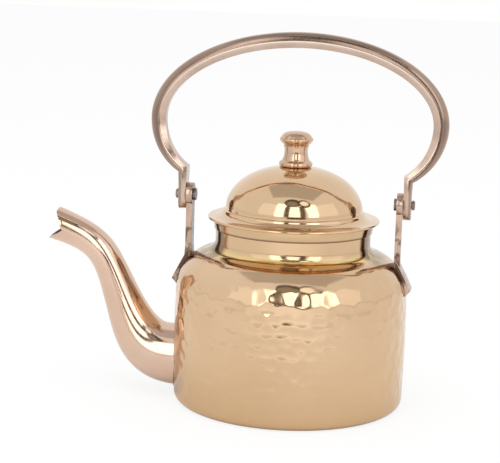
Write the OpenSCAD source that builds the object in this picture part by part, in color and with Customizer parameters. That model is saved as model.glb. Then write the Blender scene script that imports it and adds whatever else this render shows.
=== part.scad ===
// Brass stove kettle with a hammered drum, a lift-off lid and a swinging bail handle.
// The drum's axis is Z, the base stands on z = 0, the spout points to -X
// and the bail is shown upright in the XZ plane.

/* [Body] */
// Outside diameter of the drum
body_d = 130; // [120:1:140]
// Height of the shoulder's crown above the table
shoulder_h = 87; // [80:1:98]
// Radius of the rounded shoulder
shoulder_r = 22; // [19:0.5:23]
// Radius of the rounded bottom edge
bottom_edge_r = 5; // [3:0.5:6]
// Outside diameter of the neck
neck_d = 87; // [82:1:90]
// Radius of the hollow between the shoulder and the neck
neck_fillet_r = 6; // [4:0.5:7]
// Height of the mouth above the shoulder's crown
neck_h = 17.2; // [15:0.1:20]
// Thickness of the body's sheet
sheet_t = 1; // [0.8:0.1:1.4]
// Width of the flange turned in under the drum
bottom_flange_w = 6; // [5:0.5:10]

/* [Base plate] */
// Thickness of the base plate where it laps over the flange
base_t = 1; // [0.8:0.1:2]
// Width of the lap over the flange
base_lap_w = 4; // [2:0.5:4.5]

/* [Mouth collar] */
// Height of the collar round the mouth
collar_h = 5.6; // [4.5:0.1:7]
// Thickness of the collar at its lower edge
collar_low_t = 0.8; // [0.6:0.1:1.2]
// Thickness of the collar at its top
collar_top_t = 1.4; // [1.2:0.1:2]
// Bevel round the top of the collar
collar_bevel = 0.3; // [0.1:0.1:0.5]

/* [Lid] */
// Diameter of the lid's brim
lid_d = 96.2; // [94:0.1:99]
// Thickness of the lid's sheet
lid_sheet_t = 1; // [0.8:0.1:1.2]
// Height of the brim's rounded edge
brim_edge_h = 1.4; // [1.2:0.1:2]
// Width of the flat underside of the brim
brim_seat_w = 5; // [4.6:0.1:5.4]
// Height of the dome's foot above the mouth
brim_rise = 5.6; // [5:0.1:8]
// Diameter of the dome at its foot
dome_d = 77; // [72:0.1:78]
// Height of the dome's full curve
dome_h = 25; // [18:0.1:28]
// Radius of the bead round the dome's foot
dome_bead_r = 1.4; // [1.2:0.1:1.6]
// Depth of the skirt below the mouth
skirt_depth = 8; // [5:0.5:12]
// Thickness of the skirt
skirt_t = 1; // [0.8:0.1:1.5]
// Clearance between the skirt and the neck
skirt_gap = 0.5; // [0.3:0.1:1]

/* [Knob] */
// Height of the knob
knob_h = 20; // [18:0.5:24]
// Diameter of the knob's foot
knob_foot_d = 18.8; // [16:0.1:20]
// Height of the rounded foot
knob_foot_h = 4; // [3:0.1:5]
// Diameter of the knob's waist
knob_waist_d = 13.2; // [11:0.1:14]
// Diameter of the knob's cap
knob_cap_d = 18.8; // [17:0.1:22]
// Height of the knob's cap
knob_cap_h = 8.4; // [7:0.1:9]
// Height of the cap's widest place above its lower edge
knob_cap_widest = 2.8; // [2:0.1:4]
// Diameter of the low crown on top of the cap
knob_top_d = 12.4; // [10:0.1:14]
// Height of the low crown
knob_crown_h = 1; // [0.6:0.1:1.6]
// Diameter of the knob's screw
screw_d = 4; // [3:0.1:5]
// Depth of the screw in the knob
screw_grip = 9; // [6:0.5:12]
// Diameter of the screw's head
screw_head_d = 7.4; // [6.5:0.1:9]
// Height of the screw's head
screw_head_h = 2.4; // [1.8:0.1:3]
// Width of the slot in the screw's head
screw_slot_w = 1; // [0.8:0.1:1.2]
// Diameter of the washer under the lid
washer_d = 12; // [10:0.5:14]
// Thickness of the washer
washer_t = 1; // [0.8:0.1:1.5]

/* [Spout] */
// Diameter of the spout at the drum
spout_root_d = 35.2; // [30:0.1:36]
// Height of the spout's root above the table
spout_root_h = 21.8; // [21:0.1:28]
// Diameter of the spout's slender part
spout_neck_d = 17.4; // [14:0.1:18]
// Diameter of the spout's mouth
spout_mouth_d = 19; // [16:0.1:20]
// Distance of the spout's bend from the side of the drum
spout_bend_out = 33; // [30:0.5:38]
// Height of the spout's bend above the table
spout_bend_h = 56; // [52:0.1:62]
// Distance of the spout's mouth from the side of the drum
spout_reach = 72.6; // [66:0.1:80]
// Height of the middle of the spout's mouth above the table
spout_mouth_h = 95; // [88:0.1:102]
// Rise of the spout where it leaves the drum, in degrees; below zero it droops
spout_root_tilt = -5; // [-8:0.5:2]
// Rise of the spout at the bend, in degrees
spout_bend_tilt = 68; // [64:0.1:72]
// Rise of the spout at the mouth, in degrees
spout_mouth_tilt = 17.5; // [12:0.1:22]
// Thickness of the spout's wall
spout_wall = 1.6; // [1.2:0.1:2]
// Depth of the notch in the spout's mouth
notch_depth = 7.2; // [3:0.1:8]
// Diameter of the strainer holes
strainer_hole_d = 3.4; // [2.5:0.1:4]
// Spacing of the strainer holes
strainer_pitch = 5.4; // [4.6:0.1:6]

/* [Lugs] */
// Thickness of the upright lugs
lug_t = 3.4; // [3:0.1:4.5]
// Distance of the lug's outer face in from the side of the drum
lug_inset = 4.35; // [3.5:0.05:6]
// Height of the pivot above the shoulder's crown
lug_rise = 28.6; // [26:0.1:32]
// Diameter of the lug's rounded head
lug_head_d = 13; // [11:0.5:15]
// Width of the lug's neck
lug_neck_w = 8.6; // [7:0.1:10]
// Width of the lug where it meets the shoulder
lug_base_w = 16; // [13:0.5:17]
// Width of the lug's foot
foot_w = 18; // [17:0.5:22]
// Thickness of the lug's foot at its rivets
foot_t = 1.6; // [1.4:0.1:2]
// Lean of the foot's flat face
foot_lean = 27; // [24:0.5:30]
// Length of the foot's face below its rivets
foot_tail = 8; // [6:0.5:10]
// Height of the foot's slanted lower end
foot_heel = 3.2; // [2:0.1:4]
// Diameter of the lug's rivets
rivet_d = 3; // [2.4:0.1:3.4]
// Diameter of the rivets' heads
rivet_head_d = 5; // [4.4:0.1:5.6]
// Height of the rivets' sunk heads
rivet_sink = 1; // [0.6:0.1:1.2]
// Height of the rivets' heads inside the drum
rivet_head_h = 1.2; // [0.8:0.1:2]
// Distance between a lug's two rivets
rivet_spacing = 10; // [8:0.5:11]

/* [Bail handle] */
// Width of the bar, seen from the front
bar_w = 8.6; // [7:0.1:10]
// Depth of the bar, from front to back
bar_depth = 8.4; // [7:0.1:10]
// Thickness of the bail's flat legs
leg_t = 4.4; // [3.5:0.1:5]
// Thickness of a leg at the kink
kink_t = 5; // [4.5:0.1:6.5]
// Width of the bail's flat legs
leg_w = 11.6; // [10:0.1:13]
// Width of a leg's flat lower end, between its round corners
leg_foot_w = 2.4; // [2:0.1:5]
// Length of a leg below the pivot
leg_tail = 8.2; // [7:0.1:10]
// Length of a leg above the pivot
leg_rise = 14.4; // [12:0.1:18]
// Distance that the hoop swells out past the legs
hoop_swell = 15.6; // [12:0.1:20]
// Height of the hoop's widest place above the pivot
hoop_wide_rise = 43.2; // [40:0.1:50]
// Height of the top of the hoop above the pivot
hoop_rise = 93; // [85:0.5:105]
// Lean of the hoop's top away from the spout
hoop_lean = 2; // [0:0.1:4]

/* [Pivot pins] */
// Diameter of the pivot pins
pin_d = 4.2; // [3.6:0.1:5]
// Diameter of the pins' inner heads
pin_head_d = 6.8; // [6:0.1:8]
// Thickness of the pins' inner heads
pin_head_t = 1.6; // [1.2:0.1:2.5]
// Diameter of the pins' spread outer ends
pin_tail_d = 5.4; // [5.2:0.1:7]
// Length of the pins' spread outer ends
pin_tail_t = 1.6; // [1.2:0.1:3]

/* [Clearances] */
// Film of braze between joined sheets
braze_gap = 0.05; // [0.03:0.01:0.08]
// Radial clearance of the bail on its pins
pin_clearance = 0.06; // [0.03:0.01:0.1]
// Radial clearance of the rivets, the screw and the fixed pins
fixed_clearance = 0.02; // [0.01:0.01:0.04]
// Gap on each side of a bail leg
leg_gap = 0.3; // [0.2:0.05:0.5]

/* [Hidden] */
$fn = 96;

hammered_brass = [0.83, 0.69, 0.52];
polished_brass = [0.87, 0.74, 0.56];
cast_brass = [0.80, 0.66, 0.52];
dark_steel = [0.42, 0.37, 0.34];

// Steps of a round stretch, of a swept bend and of a swept half section
arc_steps = 10;
bend_steps = 20;
section_steps = 8;

// Heights and radii shared by the pieces
body_r = body_d / 2;
neck_r = neck_d / 2;
flange_in_r = body_r - bottom_edge_r - bottom_flange_w;
mouth_h = shoulder_h + neck_h;
pivot_h = shoulder_h + lug_rise;

// Points of a round stretch from one angle to another
function arc(centre, r, from, to) =
    [for (i = [0:arc_steps]) let (a = from + (to - from) * i / arc_steps) centre + r * [cos(a), sin(a)]];

// Points of a stretch that starts toward the corner point and ends coming from it
function bow(start, corner, end) =
    [for (i = [0:arc_steps]) let (t = i / arc_steps)
        (1 - t)^2 * start + 2 * t * (1 - t) * corner + t^2 * end];

function unit(v) = v / norm(v);
function right_of(v) = [v[1], -v[0]];
function reversed(list) = [for (i = [len(list) - 1:-1:0]) list[i]];
function after_first(list) = [for (i = [1:len(list) - 1]) list[i]];

// A path moved to its right by d, with mitred corners
function beside(path, d) =
    let (last = len(path) - 1)
    [for (i = [0:last])
        let (
            before = right_of(unit(path[max(i, 1)] - path[max(i, 1) - 1])),
            after = right_of(unit(path[min(i + 1, last)] - path[min(i + 1, last) - 1])),
            middle = unit(before + after)
        )
        path[i] + middle * d / (middle * before)];

// Outside of the body's sheet, from the turned-in flange up to the mouth
shoulder_c = [body_r - shoulder_r, shoulder_h - shoulder_r];
neck_fillet_x = neck_r + neck_fillet_r;
neck_fillet_rise = sqrt((shoulder_r + neck_fillet_r)^2 - (neck_fillet_x - shoulder_c[0])^2);
neck_fillet_c = [neck_fillet_x, shoulder_c[1] + neck_fillet_rise];
crown_angle = atan2(neck_fillet_rise, neck_fillet_x - shoulder_c[0]);
shoulder_arc = arc(shoulder_c, shoulder_r, 0, crown_angle);
shell_outline = concat(
    [[flange_in_r, 0]],
    arc([body_r - bottom_edge_r, bottom_edge_r], bottom_edge_r, -90, 0),
    shoulder_arc,
    after_first(arc(neck_fillet_c, neck_fillet_r, crown_angle + 180, 180)),
    [[neck_r, mouth_h]]
);

// Rivets stand square to the foot's flat face, where it comes nearest to the shoulder
foot_out = [cos(foot_lean), sin(foot_lean)];
rivet_point = shoulder_c + shoulder_r * foot_out;
rivet_turn = asin(rivet_spacing / 2 / rivet_point[0]);
rivet_seat = (rivet_head_d / 2)^2 / 2 / (shoulder_r - sheet_t) + braze_gap;
foot_top = braze_gap + foot_t;

// The front pieces mirror the rear ones
module front() {
    mirror([1, 0, 0])
        children();
}

module at_rivets() {
    for (side = [-1, 1])
        rotate([0, 0, side * rivet_turn])
            translate([rivet_point[0], 0, rivet_point[1]])
                rotate([0, 90 - foot_lean, 0])
                    children();
}

// Holes for the rivets, whose sunk cone runs on past the foot's outer face by its own depth
module rivet_holes() {
    shank = rivet_d / 2 + fixed_clearance;
    flare = (rivet_head_d - rivet_d) / 2;
    at_rivets()
        rotate_extrude()
            polygon([
                [0, -shoulder_r / 2],
                [shank, -shoulder_r / 2],
                [shank, foot_top - rivet_sink],
                [shank + 2 * flare, foot_top + rivet_sink],
                [0, foot_top + rivet_sink]
            ]);
}

// Holes on a triangular grid inside the spout's root
module strainer_holes() {
    reach = spout_root_d / 2 - spout_wall - strainer_hole_d;
    count = floor(reach / strainer_pitch);
    for (row = [-count - 1:count + 1], col = [-count - 1:count + 1]) {
        spot = strainer_pitch * [col + row / 2, row * sin(60)];
        if (norm(spot) < reach)
            translate([-body_r, spot[0], spout_root_h + spot[1]])
                rotate([0, 90, 0])
                    cylinder(d = strainer_hole_d, h = spout_root_d, center = true);
    }
}

module body_shell() {
    color(hammered_brass)
        difference() {
            rotate_extrude()
                polygon(concat(shell_outline, reversed(beside(shell_outline, -sheet_t))));
            strainer_holes();
            rivet_holes();
            front()
                rivet_holes();
        }
}

// A stepped disc: its middle fills the flange's opening and its edge laps over the flange
module base_plate() {
    opening_r = flange_in_r - braze_gap;
    lap_r = flange_in_r + base_lap_w;
    color(hammered_brass)
        rotate_extrude()
            polygon([
                [0, 0],
                [opening_r, 0],
                [opening_r, sheet_t],
                [lap_r, sheet_t],
                [lap_r, sheet_t + base_t],
                [0, sheet_t + base_t]
            ]);
}

module mouth_collar() {
    inside = neck_r + braze_gap;
    low = mouth_h - collar_h;
    outside = inside + collar_top_t;
    color(polished_brass)
        rotate_extrude()
            polygon([
                [inside, low],
                [inside + collar_low_t, low],
                [outside, mouth_h - collar_bevel],
                [outside - collar_bevel, mouth_h],
                [inside, mouth_h]
            ]);
}

// Outside of the lid's sheet, from the screw's hole out to the brim's edge
lid_r = lid_d / 2;
dome_r = dome_d / 2;
dome_foot_h = mouth_h + brim_rise;
knob_seat_r = max(knob_foot_d, washer_d) / 2;
knob_seat_angle = asin(knob_seat_r / dome_r);
knob_seat_h = dome_foot_h + dome_h * cos(knob_seat_angle);
screw_hole_r = screw_d / 2 + fixed_clearance;
brim_edge_r = brim_edge_h / 2;
brim_start = [dome_r + dome_bead_r, dome_foot_h - dome_bead_r];
brim_end = [lid_r - brim_edge_r, mouth_h + brim_edge_h];
// The hollow is deepest near the bead, at this share of the way to the edge
brim_hollow_at = 0.25;
brim_hollow = [brim_start[0] + (brim_end[0] - brim_start[0]) * brim_hollow_at, brim_end[1]];
dome_curve = [
    for (i = [0:bend_steps])
        let (a = knob_seat_angle + (90 - knob_seat_angle) * i / bend_steps)
        [dome_r * sin(a), dome_foot_h + dome_h * cos(a)]
];
lid_top = concat(
    [[screw_hole_r, knob_seat_h]],
    dome_curve,
    after_first(arc([dome_r, dome_foot_h - dome_bead_r], dome_bead_r, 90, 0)),
    after_first(bow(brim_start, brim_hollow, brim_end))
);
lid_under = [for (p = beside(lid_top, lid_sheet_t)) if (p[0] < lid_r - brim_seat_w) p];

module lid_shell() {
    seat_in = lid_r - brim_seat_w;
    color(polished_brass)
        rotate_extrude()
            polygon(concat(
                lid_top,
                after_first(arc([lid_r - brim_edge_r, mouth_h + brim_edge_r], brim_edge_r, 90, 0)),
                [[lid_r, mouth_h], [seat_in, mouth_h], [seat_in, lid_under[len(lid_under) - 1][1]]],
                reversed(lid_under)
            ));
}

// The skirt's top edge follows the underside of the brim
module lid_skirt() {
    outside = neck_r - sheet_t - skirt_gap;
    inside = outside - skirt_t;
    low = mouth_h - skirt_depth;
    brim_under = [for (p = lid_under) if (p[0] > dome_r) p];
    edge = [for (p = brim_under) if (p[0] > inside && p[0] < outside) p - [0, braze_gap]];
    color(polished_brass)
        rotate_extrude()
            polygon(concat(
                [[inside, low], [outside, low], [outside, lookup(outside, brim_under) - braze_gap]],
                reversed(edge),
                [[inside, lookup(inside, brim_under) - braze_gap]]
            ));
}

module lid_knob() {
    foot_round = knob_foot_h / 2;
    foot_in = knob_foot_d / 2 - foot_round;
    cap_low = knob_h - knob_cap_h;
    waist_mid = (knob_foot_h + cap_low) / 2;
    waist_r = knob_waist_d / 2;
    waist_pull = waist_r - (foot_in - waist_r);
    cap_r = knob_cap_d / 2;
    top_r = knob_top_d / 2;
    crown = knob_h - knob_crown_h;
    widest = cap_low + knob_cap_widest;
    color(cast_brass)
        translate([0, 0, knob_seat_h])
            rotate_extrude()
                polygon(concat(
                    [[screw_hole_r, 0]],
                    arc([foot_in, foot_round], foot_round, -90, 90),
                    after_first(bow([foot_in, knob_foot_h], [waist_pull, waist_mid], [foot_in, cap_low])),
                    after_first(bow([foot_in, cap_low], [cap_r, (cap_low + widest) / 2], [cap_r, widest])),
                    after_first(bow([cap_r, widest], [cap_r, (widest + crown) / 2], [top_r, crown])),
                    after_first(bow([top_r, crown], [top_r / 2, knob_h], [0, knob_h])),
                    [[0, screw_grip + screw_d / 4], [screw_hole_r, screw_grip]]
                ));
}

module knob_washer() {
    color(dark_steel)
        translate([0, 0, knob_seat_h - lid_sheet_t - washer_t])
            difference() {
                cylinder(d = washer_d, h = washer_t);
                cylinder(r = screw_hole_r, h = 3 * washer_t, center = true);
            }
}

module knob_screw() {
    head_top = knob_seat_h - lid_sheet_t - washer_t;
    color(dark_steel)
        difference() {
            union() {
                translate([0, 0, head_top])
                    cylinder(d = screw_d, h = knob_seat_h - head_top + screw_grip);
                translate([0, 0, head_top - screw_head_h])
                    cylinder(d = screw_head_d, h = screw_head_h);
            }
            translate([0, 0, head_top - screw_head_h])
                cube([screw_head_d + screw_slot_w, screw_slot_w, screw_head_h], center = true);
        }
}

// A swept tube's faces between rings of points, each ring clockwise seen from ahead
function side_faces(rings, sides, from) =
    [for (i = [0:rings - 2], j = [0:sides - 1], half = [0, 1])
        let (
            a = from + i * sides + j,
            b = from + i * sides + (j + 1) % sides
        )
        half == 0 ? [a, b, b + sides] : [a, b + sides, a + sides]];

// Middle line of the spout: t runs from 0 in the drum over 1 at the bend to 2 at the mouth
spout_sides = 24;
spout_sink = 6;
function outward(tilt) = [-cos(tilt), sin(tilt)];
spout_root_dir = outward(spout_root_tilt);
spout_bend_dir = outward(spout_bend_tilt);
spout_mouth_dir = outward(spout_mouth_tilt);
spout_root = [-body_r, spout_root_h] - spout_sink * spout_root_dir;
spout_bend = [-body_r - spout_bend_out, spout_bend_h];
spout_mouth = [-body_r - spout_reach, spout_mouth_h];
// How firmly the line keeps its direction, as a share of the rise of its lower or upper stretch
spout_hold = 0.7;
spout_mouth_hold = 0.73;
spout_low_pull = (spout_bend_h - spout_root_h) * spout_hold;
spout_high_pull = (spout_mouth_h - spout_bend_h) * spout_hold;
spout_mouth_pull = (spout_mouth_h - spout_bend_h) * spout_mouth_hold;

function bezier(p, q, r, s, t) =
    (1 - t)^3 * p + 3 * t * (1 - t)^2 * q + 3 * t^2 * (1 - t) * r + t^3 * s;
function spout_at(t) =
    t < 1
    ? bezier(
        spout_root,
        spout_root + spout_root_dir * spout_low_pull,
        spout_bend - spout_bend_dir * spout_low_pull,
        spout_bend,
        t)
    : bezier(
        spout_bend,
        spout_bend + spout_bend_dir * spout_high_pull,
        spout_mouth - spout_mouth_dir * spout_mouth_pull,
        spout_mouth,
        t - 1);

// Radius of the spout: full at the root, slender past the bend, flared at the mouth
spout_taper_end = 1.37;
spout_taper_lag = 1.05;
spout_flare_start = 1.6;
function spout_r_at(t) =
    let (
        taper = (1 + cos(180 * min(1, t / spout_taper_end)^spout_taper_lag)) / 2,
        flare = max(0, (t - spout_flare_start) / (2 - spout_flare_start))^2
    )
    (spout_neck_d + (spout_root_d - spout_neck_d) * taper + (spout_mouth_d - spout_neck_d) * flare) / 2;

function spout_ring(t, wall) =
    let (
        step = 0.01,
        ahead = unit(spout_at(min(2, t + step)) - spout_at(max(0, t - step))),
        up = right_of(ahead),
        middle = spout_at(t),
        r = spout_r_at(t) - wall
    )
    [for (j = [0:spout_sides - 1])
        let (
            a = -360 * j / spout_sides,
            rise = r * cos(a)
        )
        [middle[0] + up[0] * rise, r * sin(a), middle[1] + up[1] * rise]];

module spout_tube() {
    rings = 2 * bend_steps + 1;
    inner = rings * spout_sides;
    far = (rings - 1) * spout_sides;
    stations = [for (i = [0:rings - 1]) i / bend_steps];
    outside = [for (t = stations) each spout_ring(t, 0)];
    inside = [for (t = stations) each spout_ring(t, spout_wall)];
    ends = [for (j = [0:spout_sides - 1], half = [0, 1])
        let (k = (j + 1) % spout_sides)
        each half == 0
        ? [[k, j, inner + j], [k, inner + j, inner + k]]
        : [[far + j, far + k, inner + far + k], [far + j, inner + far + k, inner + far + j]]];
    inside_faces = [for (f = side_faces(rings, spout_sides, inner)) reversed(f)];
    polyhedron(concat(outside, inside), concat(side_faces(rings, spout_sides, 0), inside_faces, ends));
}

// The mouth is cut to a notch between an upper and a lower lip
module spout_notch() {
    lip_land = 0.5;
    up = right_of(spout_mouth_dir);
    half = spout_mouth_d / 2 - lip_land;
    vertex = spout_mouth - spout_mouth_dir * notch_depth;
    beyond = 2;
    polygon([
        vertex,
        vertex + beyond * (spout_mouth_dir * notch_depth + up * half),
        vertex + beyond * (spout_mouth_dir * notch_depth - up * half)
    ]);
}

module spout() {
    color(cast_brass)
        difference() {
            spout_tube();
            cylinder(r = body_r + braze_gap, h = mouth_h);
            rotate([90, 0, 0])
                linear_extrude(2 * spout_mouth_d, center = true)
                    spout_notch();
        }
}

// Places across the lug and the bail's leg, measured out from the kettle's axis
lug_out_x = body_r - lug_inset;
lug_in_x = lug_out_x - lug_t;
leg_x = lug_out_x + leg_gap + leg_t / 2;
leg_out_x = leg_x + leg_t / 2;

// Half width of the lug's upright: broad on the shoulder, and narrow from this share of its height up
lug_neck_start = 0.32;
function lug_half_w(t) =
    (lug_neck_w + (lug_base_w - lug_neck_w) * (1 + cos(180 * min(1, t / lug_neck_start))) / 2) / 2;

module lug_upright() {
    low = shoulder_c[1] + shoulder_r / 2;
    side = [
        for (t = concat([for (i = [0:arc_steps]) lug_neck_start * i / arc_steps], [1]))
            [lug_half_w(t), low + (pivot_h - low) * t]
    ];
    rotate([90, 0, 90])
        linear_extrude(lug_t) {
            polygon(concat(side, [for (p = reversed(side)) [-p[0], p[1]]]));
            translate([0, pivot_h])
                circle(d = lug_head_d);
        }
}

// The foot has a flat outer face and a slanted lower end, and reaches down into the shoulder
module lug_foot() {
    lug_mid_x = lug_in_x + lug_t / 2;
    face_c = shoulder_c + (shoulder_r + foot_top) * foot_out;
    down = right_of(foot_out);
    tip = face_c + foot_tail * down;
    top = face_c + (lug_mid_x - face_c[0]) / down[0] * down;
    low = tip[1] - foot_heel;
    intersection() {
        rotate_extrude()
            polygon([top, tip, [body_r, low], [lug_mid_x, low]]);
        translate([0, -foot_w / 2, 0])
            cube([body_d, foot_w, mouth_h]);
    }
}

// The drum and shoulder with the film of braze on them
module shoulder_solid() {
    skin = beside(concat([[body_r, 0]], shoulder_arc), braze_gap);
    rotate_extrude()
        polygon(concat([[0, 0]], skin, [[0, skin[len(skin) - 1][1]]]));
}

module lug() {
    color(cast_brass)
        difference() {
            union() {
                translate([lug_in_x, 0, 0])
                    lug_upright();
                lug_foot();
            }
            shoulder_solid();
            translate([lug_in_x, 0, pivot_h])
                rotate([0, 90, 0])
                    cylinder(r = pin_d / 2 + fixed_clearance, h = 3 * lug_t, center = true);
            rivet_holes();
        }
}

module rear_lug() {
    lug();
}

module front_lug() {
    front()
        lug();
}

// Rivets with a sunk head in the foot and a low head inside the drum
module lug_rivets() {
    inner_top = -sheet_t - rivet_seat;
    inner_low = inner_top - rivet_head_h;
    color(cast_brass)
        at_rivets()
            rotate_extrude()
                polygon([
                    [0, inner_low],
                    [rivet_d / 2, inner_low],
                    [rivet_head_d / 2, inner_top - rivet_head_h / 3],
                    [rivet_head_d / 2, inner_top],
                    [rivet_d / 2, inner_top],
                    [rivet_d / 2, foot_top - rivet_sink],
                    [rivet_head_d / 2, foot_top],
                    [0, foot_top]
                ]);
}

module rear_lug_rivets() {
    lug_rivets();
}

module front_lug_rivets() {
    front()
        lug_rivets();
}

module pivot_pin() {
    tail_x = leg_out_x + leg_gap;
    tail_bevel = pin_tail_t / 3;
    color(dark_steel)
        translate([0, 0, pivot_h])
            rotate([0, 90, 0])
                rotate_extrude()
                    polygon([
                        [0, lug_in_x - pin_head_t],
                        [pin_head_d / 2, lug_in_x - pin_head_t],
                        [pin_head_d / 2, lug_in_x],
                        [pin_d / 2, lug_in_x],
                        [pin_d / 2, tail_x],
                        [pin_tail_d / 2, tail_x],
                        [pin_tail_d / 2, tail_x + pin_tail_t - tail_bevel],
                        [pin_tail_d / 2 - tail_bevel, tail_x + pin_tail_t],
                        [0, tail_x + pin_tail_t]
                    ]);
}

module rear_pivot_pin() {
    pivot_pin();
}

module front_pivot_pin() {
    front()
        pivot_pin();
}

// Middle line of the bail's rear half: a straight leg, a bend out at the kink,
// an arc to the widest place and a quarter ellipse to the top
kink = [leg_x, pivot_h + leg_rise];
hoop_half_w = leg_x + hoop_swell;
hoop_wide_h = pivot_h + hoop_wide_rise;
hoop_top_h = pivot_h + hoop_rise - bar_w / 2;
low_arc_h = hoop_wide_h - kink[1];
low_arc_r = (hoop_swell^2 + low_arc_h^2) / (2 * hoop_swell);
low_arc_c = [hoop_half_w - low_arc_r, hoop_wide_h];
low_arc_angle = asin(low_arc_h / low_arc_r);

// Sharpness of a section's outer corners: 2 is an ellipse, more is squarer
bar_corner = 2;
leg_corner = 7;
// Half width of the bar's flat inner edge, and how far the leg's flat face stops short of its sides
bar_edge = 1.6;
leg_bevel = 0.8;
// Place of the ridge, as a share of the bar's width in from its middle
ridge_in = 0.08;
leg_end_r = (leg_w - leg_foot_w) / 2;

// A station of the sweep: place, direction, width, depth, corner sharpness, half width of the inner edge
function leg_station(h, half_w) =
    [[leg_x, h], [0, 1], leg_t, 2 * half_w, leg_corner, half_w - leg_bevel];
function bar_station(place, ahead, share) =
    [
        place,
        ahead,
        kink_t + (bar_w - kink_t) * share,
        leg_w + (bar_depth - leg_w) * share,
        leg_corner + (bar_corner - leg_corner) * share,
        leg_w / 2 - leg_bevel + (bar_edge - leg_w / 2 + leg_bevel) * share
    ];

leg_stations = [
    for (i = [0:4])
        let (
            a = 90 * i / 4,
            side = leg_w / 2 - leg_end_r * (1 - sin(a))
        )
        leg_station(pivot_h - leg_tail + leg_end_r * (1 - cos(a)), side)
];
leg_top_station = leg_station(pivot_h + lug_head_d / 2 + leg_gap, leg_w / 2);
kink_half = low_arc_angle / 2;
kink_station = [
    kink,
    [sin(kink_half), cos(kink_half)],
    kink_t / cos(kink_half),
    leg_w,
    leg_corner,
    leg_w / 2 - leg_bevel
];
low_arc_stations = [
    for (i = [1:arc_steps - 1])
        let (
            a = low_arc_angle * (i / arc_steps - 1),
            share = sin(90 * i / arc_steps)
        )
        bar_station(low_arc_c + low_arc_r * [cos(a), sin(a)], [-sin(a), cos(a)], share)
];
arch_stations = [
    for (i = [0:bend_steps])
        let (
            a = 90 * i / bend_steps,
            rise = hoop_top_h - hoop_wide_h
        )
        bar_station(
            [hoop_half_w * cos(a), hoop_wide_h + rise * sin(a)],
            unit([-hoop_half_w * sin(a), rise * cos(a)]),
            1)
];
rear_stations = concat(leg_stations, [leg_top_station, kink_station], low_arc_stations, arch_stations);
front_stations = [
    for (i = [len(rear_stations) - 2:-1:0])
        let (s = rear_stations[i])
        [[-s[0][0], s[0][1]], [s[1][0], -s[1][1]], s[2], s[3], s[4], s[5]]
];
bail_stations = concat(rear_stations, front_stations);

// A section: round outside, two flat faces inside that meet the round at a ridge
function bail_ring(s) =
    let (
        out = right_of(s[1]),
        ridge = -ridge_in * s[2],
        reach = s[2] / 2 - ridge,
        power = 2 / s[4],
        round_side = [
            for (i = [0:section_steps])
                let (a = 90 - 180 * i / section_steps)
                [ridge + reach * max(0, cos(a))^power, sign(a) * s[3] / 2 * abs(sin(a))^power]
        ],
        section = concat(round_side, [[-s[2] / 2, -s[5]], [-s[2] / 2, s[5]]]),
        x = s[0][0] + hoop_lean * max(0, (s[0][1] - kink[1]) / (hoop_top_h - kink[1]))
    )
    [for (p = section) [x + out[0] * p[0], p[1], s[0][1] + out[1] * p[0]]];

module bail_handle() {
    sides = section_steps + 3;
    count = len(bail_stations);
    first = [for (j = [sides - 1:-1:0]) j];
    last = [for (j = [0:sides - 1]) (count - 1) * sides + j];
    color(cast_brass)
        difference() {
            polyhedron(
                [for (s = bail_stations) each bail_ring(s)],
                concat([first], side_faces(count, sides, 0), [last]));
            for (side = [-1, 1])
                translate([side * leg_x, 0, pivot_h])
                    rotate([0, 90, 0])
                        cylinder(r = pin_d / 2 + pin_clearance, h = 3 * leg_t, center = true);
        }
}

body_shell();
base_plate();
mouth_collar();
spout();
front_lug();
rear_lug();
front_lug_rivets();
rear_lug_rivets();
front_pivot_pin();
rear_pivot_pin();
bail_handle();
lid_shell();
lid_skirt();
lid_knob();
knob_washer();
knob_screw();
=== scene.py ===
import math
import random
import bpy
import bmesh
from mathutils import Matrix, Vector


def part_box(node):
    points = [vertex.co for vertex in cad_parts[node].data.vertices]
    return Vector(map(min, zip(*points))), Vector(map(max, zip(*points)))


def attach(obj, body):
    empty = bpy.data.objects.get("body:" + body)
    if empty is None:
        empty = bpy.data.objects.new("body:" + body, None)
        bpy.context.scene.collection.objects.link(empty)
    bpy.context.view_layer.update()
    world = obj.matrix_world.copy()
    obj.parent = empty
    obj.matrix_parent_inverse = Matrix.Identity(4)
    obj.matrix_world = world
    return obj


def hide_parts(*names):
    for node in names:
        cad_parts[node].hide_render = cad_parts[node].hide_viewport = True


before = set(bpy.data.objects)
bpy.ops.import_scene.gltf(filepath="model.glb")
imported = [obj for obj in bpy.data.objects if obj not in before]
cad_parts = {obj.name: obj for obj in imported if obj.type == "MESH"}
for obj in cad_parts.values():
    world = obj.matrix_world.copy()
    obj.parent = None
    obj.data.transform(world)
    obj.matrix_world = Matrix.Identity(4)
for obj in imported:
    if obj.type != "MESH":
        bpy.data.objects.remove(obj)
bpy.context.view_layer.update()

# Brass stove kettle: looks around the CAD frame, in metres, base on z = 0, spout to -X
scene = bpy.context.scene

# Small helpers for modelling with operators

mergeGap = 1e-6


def clearSelection():
    if bpy.context.object and bpy.context.object.mode != "OBJECT":
        bpy.ops.object.mode_set(mode="OBJECT")
    bpy.ops.object.select_all(action="DESELECT")


def activate(piece):
    clearSelection()
    piece.select_set(True)
    bpy.context.view_layer.objects.active = piece


def arcPoints(centre, radius, start, end, count):
    # points of a round stretch in the profile plane, angles in degrees
    angles = [math.radians(start + (end - start) * i / count) for i in range(count + 1)]
    return [(centre[0] + radius * math.cos(a), centre[1] + radius * math.sin(a)) for a in angles]


def linePoints(start, end, count):
    # evenly spaced points after start, up to end
    shares = [(i + 1) / count for i in range(count)]
    return [(start[0] + (end[0] - start[0]) * s, start[1] + (end[1] - start[1]) * s) for s in shares]


def curvePoints(start, corner, end, count):
    # points after start of a curve that is drawn towards the corner
    made = []
    for i in range(count):
        t = (i + 1) / count
        pulls = (((1 - t) ** 2, start), (2 * t * (1 - t), corner), (t ** 2, end))
        made.append(tuple(sum(weight * point[k] for weight, point in pulls) for k in range(2)))
    return made


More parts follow.
